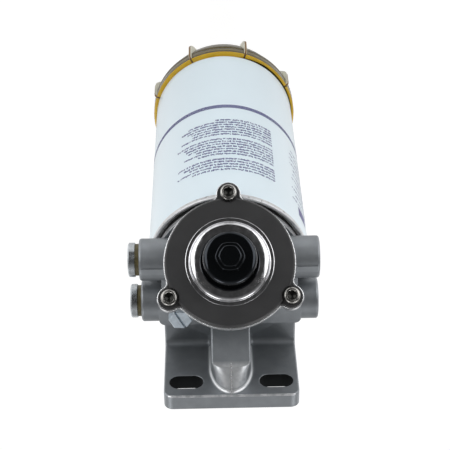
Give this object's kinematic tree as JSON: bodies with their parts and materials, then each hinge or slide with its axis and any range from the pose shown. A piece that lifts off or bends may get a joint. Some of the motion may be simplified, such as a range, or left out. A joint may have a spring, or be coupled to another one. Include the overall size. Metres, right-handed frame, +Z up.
{
  "type": "fuel water separator",
  "caption": "Spin-on fuel filter and water separator with a cast wall-mount head, an inclined hand primer pump, side ports, a long can and a ribbed clear bowl with a drain.",
  "frame": {"origin": "on the wall face of the bracket, midway between its two bolt slots", "axes": "+Z up along the can's axis from bowl to head, +Y into the wall, front towards -Y"},
  "size_m": [0.1273, 0.1376, 0.3762],
  "materials": {
    "cast_aluminium": "die cast, satin",
    "black_moulding": "moulded, satin",
    "plain_steel": "turned",
    "polished_metal": "polished",
    "black_gloss": "moulded, gloss",
    "black_rubber": "smooth",
    "spring_steel": "drawn wire and strip",
    "zinc_steel": "zinc plated",
    "olive_rubber": "smooth",
    "white_paint": "gloss enamel",
    "tin_plate": "tin plated sheet",
    "pleated_paper": "resin treated paper",
    "amber_clear": "clear moulding"
  },
  "bodies": {
    "housing": {"head_casting": "cast_aluminium", "pump_cover": "black_moulding", "pump_cover_screws": "plain_steel", "pump_bezel": "polished_metal", "pump_diaphragm": "black_rubber", "pump_spring": "spring_steel", "valve_plate": "black_moulding", "inlet_valve": "black_rubber", "outlet_valve": "black_rubber", "port_plugs": "zinc_steel", "port_plug_seals": "olive_rubber", "can_nipple": "plain_steel", "head_gasket": "black_rubber", "filter_can": "white_paint", "can_end_plate": "tin_plate", "filter_element": "pleated_paper", "centre_tube": "tin_plate", "element_top_cap": "tin_plate", "element_grommet": "black_rubber", "element_bottom_cap": "tin_plate", "element_spider": "spring_steel", "bowl_ring": "tin_plate", "bowl_gasket": "black_rubber", "water_bowl": "amber_clear"},
    "pump_button": {"pump_knob": "black_gloss", "pump_stem": "plain_steel", "diaphragm_washers": "plain_steel"},
    "bleed_lift": {"bleed_seal": "black_rubber"},
    "bleed_valve": {"bleed_screw": "zinc_steel"},
    "drain_lift": {"drain_seal": "black_rubber"},
    "drain_plug": {"drain_valve": "black_moulding"}
  },
  "joints": [
    {"name": "pump_press", "type": "slide", "parent": "housing", "child": "pump_button", "axis": [0, 0.7071, -0.7071], "range_m": [0, 0.0045], "stiffness_N_per_m": 1200, "springref_m": -0.008, "deforming": ["pump_spring", "pump_diaphragm"]},
    {"name": "bleed_rise", "type": "slide", "parent": "housing", "child": "bleed_lift", "axis": [0, 0, 1], "range_m": [0, 0.0015]},
    {"name": "bleed_turn", "type": "hinge", "parent": "bleed_lift", "child": "bleed_valve", "pos_m": [0.033, -0.0495, -0.02], "axis": [0, 0, 1], "range_deg": [0, 360]},
    {"name": "drain_drop", "type": "slide", "parent": "housing", "child": "drain_lift", "axis": [0, 0, -1], "range_m": [0, 0.002]},
    {"name": "drain_turn", "type": "hinge", "parent": "drain_lift", "child": "drain_plug", "pos_m": [0, -0.067, -0.3393], "axis": [0, 0, -1], "range_deg": [0, 360]}
  ],
  "couplings": [
    {"joint": "bleed_rise", "follows": "bleed_turn", "m_per_rad": 0.00023849},
    {"joint": "drain_drop", "follows": "drain_turn", "m_per_rad": 0.00031799}
  ]
}
